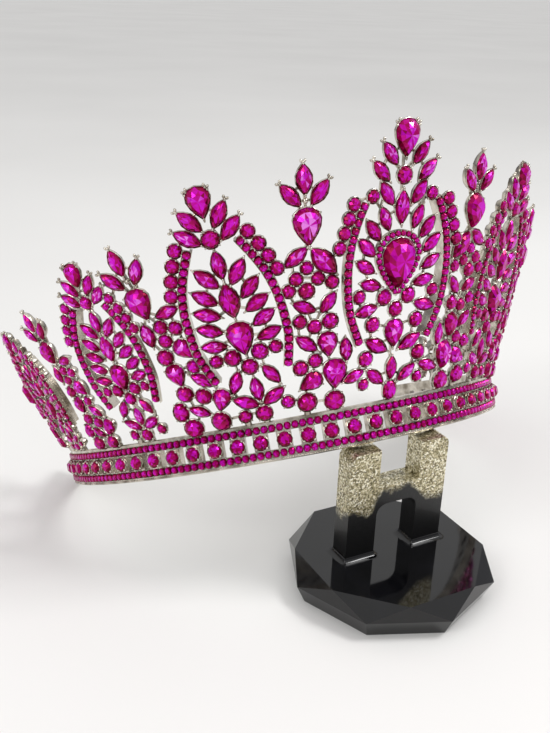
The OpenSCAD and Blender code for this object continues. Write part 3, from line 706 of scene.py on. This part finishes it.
# Solder: a short bar wherever two cups come near each other
solder = {"reach": 1.9, "radius": 0.42, "level": -0.9, "out": 0.2, "points": 20, "into": 0.7,
          "stem": 1.0, "stemSides": 8}
edgePoints, edgeOwners, edgeInward = [], [], []
for number, stone in enumerate(stones):
    flat = outline(stone["cut"], stone["length"], solder["points"], solder["out"])
    local = ringPoints(flat, solder["level"])
    placed = local @ stone["spot"][:3, :3].T + stone["spot"][:3, 3]
    centre = stone["spot"] @ np.array([0, 0, solder["level"], 1])
    for p in placed:
        edgePoints.append(p)
        edgeOwners.append(number)
        edgeInward.append(centre[:3])
tree = KDTree(len(edgePoints))
for number, p in enumerate(edgePoints):
    tree.insert(p, number)
tree.balance()
nearest = {}
for number, p in enumerate(edgePoints):
    for q, other, gap in tree.find_range(p, solder["reach"]):
        a, b = edgeOwners[number], edgeOwners[other]
        if a < b and gap < nearest.get((a, b), (math.inf,))[0]:
            nearest[(a, b)] = (gap, number, other)
for gap, a, b in nearest.values():
    pa, pb = edgePoints[a], edgePoints[b]
    ia = edgeInward[a] - pa
    ib = edgeInward[b] - pb
    addBar(joints, pa + ia / np.linalg.norm(ia) * solder["into"],
           pb + ib / np.linalg.norm(ib) * solder["into"], solder["radius"])
for stone in stones:
    if stone["foot"]:  # a stem down into the band
        ends = [stone["place"] @ np.array([stone["x"], y, solder["level"], 1])
                for y in (stone["y"], solder["level"])]
        addBar(joints, ends[0][:3], ends[1][:3], solder["stem"], solder["stemSides"])
print("solder joints:", len(nearest))


# Curved rails, the halo and their small stones

rail = {"pitch": 2.28, "stone": 2.26, "across": 1.16, "sink": 0.1, "bead": 0.2, "beadAside": 1.12,
        "beadLift": 0.02, "seatZ": 0.42, "floor": 0.6, "wall": 0.75, "underside": -0.9,
        "outerLip": 0.1, "outerSlope": 0.04, "outerDrop": 0.05, "innerLip": 0.16,
        "innerSlope": 0.04, "innerRise": 0.08, "tinySides": 10}
rails, beading, tinyStones = newMesh(), newMesh(), newMesh()


def smoothPath(points, steps=8):
    points = np.array(points, float)
    padded = np.concatenate([[2 * points[0] - points[1]], points, [2 * points[-1] - points[-2]]])
    made = []
    for i in range(1, len(padded) - 2):
        p0, p1, p2, p3 = padded[i - 1:i + 3]
        for k in range(steps):
            t = k / steps
            made.append(0.5 * ((2 * p1) + (p2 - p0) * t + (2 * p0 - 5 * p1 + 4 * p2 - p3) * t * t
                               + (3 * p1 - p0 - 3 * p2 + p3) * t ** 3))
    made.append(padded[-2])
    return np.array(made)


def evenly(path, pitch, closed=False):
    if closed:
        path = np.concatenate([path, path[:1]])
    legs = np.linalg.norm(np.diff(path, axis=0), axis=1)
    along = np.concatenate([[0], np.cumsum(legs)])
    count = max(2, int(round(along[-1] / pitch)))
    wanted = (np.arange(count) + 0.5) / count * along[-1]
    return np.stack([np.interp(wanted, along, path[:, k]) for k in (0, 1)], 1)


def normalsOf(path):
    d = np.gradient(path, axis=0)
    d /= np.linalg.norm(d, axis=1)[:, None]
    return np.stack([d[:, 1], -d[:, 0]], 1)


def addTiny(x, y, z, place, diameter, turn=0.0, across=1.0):
    spread = np.diag([across, 1, 1, 1])  # cushion cut, a little wider than long
    addStone(tinyStones, "round", diameter, place @ shift(x, y, z) @ turnZ(turn) @ spread,
             rail["tinySides"])


def railSection():
    # across the rail and up from the wall: a channel for the stones over a deep thin wall
    w, seat, under = wall["railWidth"] / 2, rail["seatZ"], rail["underside"]
    outerTop, innerTop = seat - rail["outerDrop"], seat + rail["innerRise"]
    return [(w, outerTop), (w, under), (-w + rail["wall"], under),
            (-w + rail["wall"], -wall["railDepth"]), (-w, -wall["railDepth"]), (-w, innerTop),
            (-w + rail["innerLip"], innerTop),
            (-w + rail["innerLip"] + rail["innerSlope"], seat - rail["floor"]),
            (w - rail["outerLip"] - rail["outerSlope"], seat - rail["floor"]),
            (w - rail["outerLip"], outerTop)]


def addBeadPair(place, x, y, z, out, aside, size):
    for u in (-aside, aside):
        addBead(beading, place, x + out[0] * u, y + out[1] * u, z, (size,) * 3)


for number, (kind, angle, tall, wide, tilt, flip) in enumerate(motifs):
    if kind not in railCharts:
        continue
    height, across = tall * wall["centreHeight"] / 100, wide * wall["centreHeight"] / 100
    place = wallPlace(angle, tilt)
    for side in (-1, 1):
        path = smoothPath([(side * x * across, y * height) for x, y in railCharts[kind]])
        normal = normalsOf(path)
        if (normal[len(normal) // 2, 0] > 0) != (side > 0):
            normal = -normal  # out of the arch
        section = railSection()
        points = []
        for p, q in zip(path, normal):
            points += [(p[0] + q[0] * u, p[1] + q[1] * u, z) for u, z in section]
        n = len(section)
        faces = ringFaces(len(path), n)
        if side > 0:
            faces = [f[::-1] for f in faces]
        faces += [tuple(range(n)), tuple(range(len(points) - n, len(points)))]
        addPart(rails, points, faces, place)
        spots = evenly(path, rail["pitch"])
        aside = normalsOf(spots)
        for p, q in zip(spots, aside):
            addTiny(p[0], p[1], rail["seatZ"] - rail["sink"], place, rail["stone"],
                    math.degrees(math.atan2(q[1], q[0])), rail["across"])
        between = (spots[1:] + spots[:-1]) / 2
        for p, q in zip(between, aside):
            addBeadPair(place, p[0], p[1], rail["seatZ"] + rail["beadLift"], q,
                        rail["beadAside"], rail["bead"])

halo = {"inner": 0.5, "underside": -0.9, "top": 0.1, "sides": 40, "row": 1.25, "pitch": 1.76,
        "stone": 1.74, "seatZ": 0.2, "bead": 0.22, "beadAside": 0.8, "beadZ": 0.3}
for stone in stones:
    if stone["kind"] == "centre" and stone["part"] == "drop":
        place = stone["spot"]
        inner, outer = [outline("pear", stone["length"], halo["sides"], grow)
                        for grow in (halo["inner"], wall["haloWidth"])]
        rings = [ringPoints(inner, halo["underside"]), ringPoints(outer, halo["underside"]),
                 ringPoints(outer, halo["top"]), ringPoints(inner, halo["top"])]
        addPart(rails, np.concatenate(rings), ringFaces(4, halo["sides"]), place)
        row = outline("pear", stone["length"], 2 * halo["sides"], halo["row"])
        spots = evenly(row, halo["pitch"], True)
        for p in spots:
            addTiny(p[0], p[1], halo["seatZ"], place, halo["stone"])
        for p in (spots + np.roll(spots, -1, 0)) / 2:
            addBeadPair(place, p[0], p[1], halo["beadZ"], p / np.linalg.norm(p),
                        halo["beadAside"], halo["bead"])
print("rails and halo made")


# The band

bandLook = {"chamfer": 0.25, "draft": 0.05, "milgrain": 0.3, "milgrainPitch": 0.7,
            "milgrainZ": 0.42, "milgrainOut": 0.05, "endPlain": 1.0, "rowPitch": 2.2,
            "rowStone": 2.18, "rowAcross": 1.1, "rowSeat": 0.35, "rowBead": 0.22,
            "rowBeadAside": 1.08, "cupOut": 0.55, "cupRim": 0.3, "cupSides": 12,
            "stoneSeat": 0.15, "clawOut": 0.1, "clawLift": 0.45, "claw": (0.36, 0.5, 0.42)}
stonesEachSide = int((band["reach"] - band["endPlain"]) // band["step"])


def makeBand():
    mesh = newMesh()
    outer, inner = band["radius"], band["radius"] - band["thickness"]
    deep = outer - band["grooveDepth"]
    ledge, groove, high = band["ledge"], band["groove"], band["height"]
    low, top = (high - band["windowHeight"]) / 2, (high + band["windowHeight"]) / 2
    edge, draft = bandLook["chamfer"], bandLook["draft"]
    profile = [(inner, 0), (outer - edge, 0), (outer, edge), (outer, ledge), (deep, ledge + draft),
               (deep, ledge + groove - draft), (outer, ledge + groove), (outer, low), (outer, top),
               (outer, high - ledge - groove), (deep, high - ledge - groove + draft),
               (deep, high - ledge - draft), (outer, high - ledge), (outer, high - edge),
               (outer - edge, high), (inner, high), (inner, top), (inner, low)]
    n = len(profile)
    halfWindow = math.degrees(band["windowWidth"] / 2 / outer)
    cuts = [-band["reach"]]
    for i in range(-stonesEachSide, stonesEachSide):
        middle = (i + 0.5) * band["step"]
        cuts += [middle - halfWindow, middle + halfWindow]
    cuts.append(band["reach"])
    angles, openFrom = [], set()
    for k in range(len(cuts) - 1):
        pieces = 1 if k % 2 else 3 if 0 < k < len(cuts) - 2 else 2
        for j in range(pieces):
            if k % 2:
                openFrom.add(len(angles))
            angles.append(cuts[k] + (cuts[k + 1] - cuts[k]) * j / pieces)
    angles.append(cuts[-1])
    points = []
    for a in angles:
        c, s = math.cos(math.radians(a)), math.sin(math.radians(a))
        points += [(r * s, -r * c, z) for r, z in profile]
    faces = []
    for k in range(len(angles) - 1):
        for i in range(n):
            j = (i + 1) % n
            if k in openFrom and i in (7, 16):  # the faces that the window goes through
                continue
            faces.append((k * n + i, (k + 1) * n + i, (k + 1) * n + j, k * n + j))
        if k in openFrom:  # the four sides of a window
            a, b = k * n, (k + 1) * n
            faces += [(a + 7, a + 17, b + 17, b + 7), (a + 8, b + 8, b + 16, a + 16),
                      (a + 7, a + 8, a + 16, a + 17), (b + 7, b + 17, b + 16, b + 8)]
    last = (len(angles) - 1) * n
    faces += [tuple(range(n - 1, -1, -1)), tuple(last + i for i in range(n))]
    addPart(mesh, points, faces, crownPose)
    return mesh


bandMesh = makeBand()
bandStones = newMesh()
for i in range(-stonesEachSide, stonesEachSide + 1):
    place = bandPlace(i * band["step"], band["height"] / 2, bandLook["cupOut"])
    addStone(bandStones, "round", band["stone"], place @ shift(0, 0, bandLook["stoneSeat"]),
             bandLook["cupSides"])
    addCup(cups, "round", band["stone"], place, bandLook["cupSides"], bandLook["cupRim"])
    for angle in clawAngles["round"]:
        r = band["stone"] / 2 + bandLook["clawOut"]
        t = math.radians(angle)
        addBead(claws, place, r * math.cos(t), r * math.sin(t), bandLook["clawLift"],
                bandLook["claw"], angle - 90)
makePiece("bandStonesCut", bandStones, foilMaterial, nodes=["band_stones"])

rowReach = band["reach"] - bandLook["endPlain"]
arc = math.radians(2 * rowReach) * band["radius"]
rowCount = int(arc / bandLook["rowPitch"])
halfStep = rowReach / rowCount
rowMiddle = band["ledge"] + band["groove"] / 2
for k in range(rowCount):
    angle = -rowReach + 2 * rowReach * (k + 0.5) / rowCount
    for z in (rowMiddle, band["height"] - rowMiddle):
        addTiny(0, 0, bandLook["rowSeat"] - band["grooveDepth"], bandPlace(angle, z),
                bandLook["rowStone"], 90, bandLook["rowAcross"])
        addBeadPair(bandPlace(angle + halfStep, z), 0, 0, 0, (0, 1), bandLook["rowBeadAside"],
                    bandLook["rowBead"])
grainCount = int(arc / bandLook["milgrainPitch"])
for k in range(grainCount):
    angle = -rowReach + 2 * rowReach * (k + 0.5) / grainCount
    addBead(beading, bandPlace(angle, bandLook["milgrainZ"]), 0, 0, bandLook["milgrainOut"],
            (bandLook["milgrain"],) * 3)
print("band made:", rowCount, "small stones a row")

makePiece("bandRing", bandMesh, metalMaterial, 30, nodes=["metal_frame"])
makePiece("stoneCups", cups, metalMaterial, 40)
makePiece("claws", claws, metalMaterial, 60)
makePiece("solderJoints", joints, metalMaterial, 50)
makePiece("curvedRails", rails, metalMaterial, 30)
makePiece("grainBeading", beading, metalMaterial, 60)
makePiece("tinyStones", tinyStones, foilMaterial)
print("metalwork made")


# The stand keeps its solids, with softened edges

edges = {"width": 0.0005, "segments": 2, "sharperThan": 12}
for node, material in (("stand_base", blackMaterial), ("stand_upright", glitterMaterial)):
    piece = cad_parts[node]
    piece.data.materials.clear()
    piece.data.materials.append(material)
    bevel = piece.modifiers.new("softEdge", "BEVEL")
    bevel.width, bevel.segments, bevel.limit_method = edges["width"], edges["segments"], "ANGLE"
    bevel.angle_limit = math.radians(edges["sharperThan"])
    bevel.harden_normals = False
# Where each leg meets the base the resin has crept up into a small fillet: out, up
legs = {"inner": 7.0, "front": -1.45, "back": 5.45,
        "foot": [(1.9, 0.02), (0.9, 0.16), (0.35, 0.55), (0.06, 1.5)], "cornerSteps": 5}


def roundedBox(x0, x1, y0, y1, grow):
    made, steps = [], legs["cornerSteps"]
    for cx, cy, start in ((x1, y0, -90), (x1, y1, 0), (x0, y1, 90), (x0, y0, 180)):
        for k in range(steps):
            t = math.radians(start + 90 * k / (steps - 1))
            made.append((cx + grow * math.cos(t), cy + grow * math.sin(t)))
    return np.array(made)


fillets = newMesh()
outside = stand["uprightWidth"] / 2
for x0, x1 in ((legs["inner"], outside), (-outside, -legs["inner"])):
    rings = [ringPoints(roundedBox(x0, x1, legs["front"], legs["back"], out), stand["baseHeight"] + z)
             for out, z in legs["foot"]]
    addPart(fillets, np.concatenate(rings), ringFaces(len(rings), len(rings[0])), np.eye(4))
makePiece("footFillets", fillets, blackMaterial, 50)
print("stand dressed")


# Floor, light and camera

stageLook = {"wallGlow": 0.92, "floor": ("#E4E3E1", "#EAE9E7"), "floorEdges": (0.3, 0.7),
             "floorHalf": 60, "patchMm": 333, "roughness": 0.55, "specular": 0.2,
             "sky": [(0.0, "#8E8E92"), (0.2, "#A4A4A8"), (0.5, "#F0F0F0"), (1.0, "#FFFFFF")],
             "target": (0, 0.03, 0.05),
             "lamps": {"keyLight": ((0.5, -0.25, 0.85), 0.3, 4.2),
                       "fillLight": ((-0.7, -0.2, 0.5), 0.4, 2.0)}}
floorMaterial, floorTree = newMaterial("paleFloor")
floorPlace = addNode(floorTree, "ShaderNodeTexCoord")
floorNoise = addNode(floorTree, "ShaderNodeTexNoise",
                     {"Scale": patternScale(stageLook["patchMm"]), "Detail": 3.0},
                     {"Vector": floorPlace.outputs["Object"]})
floorRamp = addNode(floorTree, "ShaderNodeValToRGB", {}, {"Fac": floorNoise.outputs["Fac"]})
setRamp(floorRamp, list(zip(stageLook["floorEdges"], stageLook["floor"])))
floorShader = addNode(floorTree, "ShaderNodeBsdfPrincipled",
                      {"Roughness": stageLook["roughness"],
                       "Specular IOR Level": stageLook["specular"]},
                      {"Base Color": floorRamp.outputs["Color"]})
addNode(floorTree, "ShaderNodeOutputMaterial", {}, {"Surface": floorShader.outputs[0]})
floorMesh = bpy.data.meshes.new("floor")
half = stageLook["floorHalf"]
floorMesh.from_pydata([(-half, -half, 0), (half, -half, 0), (half, half, 0), (-half, half, 0)], [],
                      [(0, 1, 2, 3)])
floorMesh.materials.append(floorMaterial)
floor = bpy.data.objects.new("floor", floorMesh)
bpy.context.scene.collection.objects.link(floor)

world = bpy.data.worlds.new("studio")
bpy.context.scene.world = world
world.use_nodes = True
worldTree = world.node_tree
worldTree.nodes.clear()
sky = addNode(worldTree, "ShaderNodeTexCoord")
skyAxes = addNode(worldTree, "ShaderNodeSeparateXYZ", {}, {"Vector": sky.outputs["Generated"]})
skyRamp = addNode(worldTree, "ShaderNodeValToRGB", {}, {"Fac": skyAxes.outputs["Z"]})
setRamp(skyRamp, stageLook["sky"])
glow = addNode(worldTree, "ShaderNodeBackground", {"Strength": stageLook["wallGlow"]},
               {"Color": skyRamp.outputs["Color"]})
addNode(worldTree, "ShaderNodeOutputWorld", {}, {"Surface": glow.outputs[0]})


def addLight(name, place, size, power):
    data = bpy.data.lights.new(name, "AREA")
    data.size, data.energy = size, power
    lamp = bpy.data.objects.new(name, data)
    bpy.context.scene.collection.objects.link(lamp)
    lamp.location = place
    lamp.rotation_mode = "QUATERNION"
    aim = Vector(stageLook["target"]) - Vector(place)
    lamp.rotation_quaternion = aim.to_track_quat("-Z", "Y")


for lampName, (lampPlace, lampSize, lampPower) in stageLook["lamps"].items():
    addLight(lampName, lampPlace, lampSize, lampPower)

# Fitted to the stand, the band and the motifs' tips; the place is measured from the crown's middle
camera = {"place": (-0.1408, -0.2531, 0.1665), "look": (0.4345, 0.8109, -0.392),
          "right": (0.8874, -0.4598, 0.0325), "focalPixels": 900.0, "longSide": 733.0,
          "sensorMm": 36.0, "clip": (0.01, 120)}
cameraData = bpy.data.cameras.new("camera")
cameraData.sensor_width = camera["sensorMm"]
cameraData.lens = camera["focalPixels"] / camera["longSide"] * camera["sensorMm"]
cameraData.clip_start, cameraData.clip_end = camera["clip"]
cameraObject = bpy.data.objects.new("camera", cameraData)
bpy.context.scene.collection.objects.link(cameraObject)
bpy.context.scene.view_settings.view_transform = "Standard"
back = -Vector(camera["look"]).normalized()
right = Vector(camera["right"]).normalized()
up = back.cross(right).normalized()
right = up.cross(back).normalized()
turned = Matrix((right, up, back)).transposed().to_4x4()
turned.translation = Vector(camera["place"]) + Vector((0, crownY * 0.001, 0))
cameraObject.matrix_world = turned
bpy.context.scene.camera = cameraObject
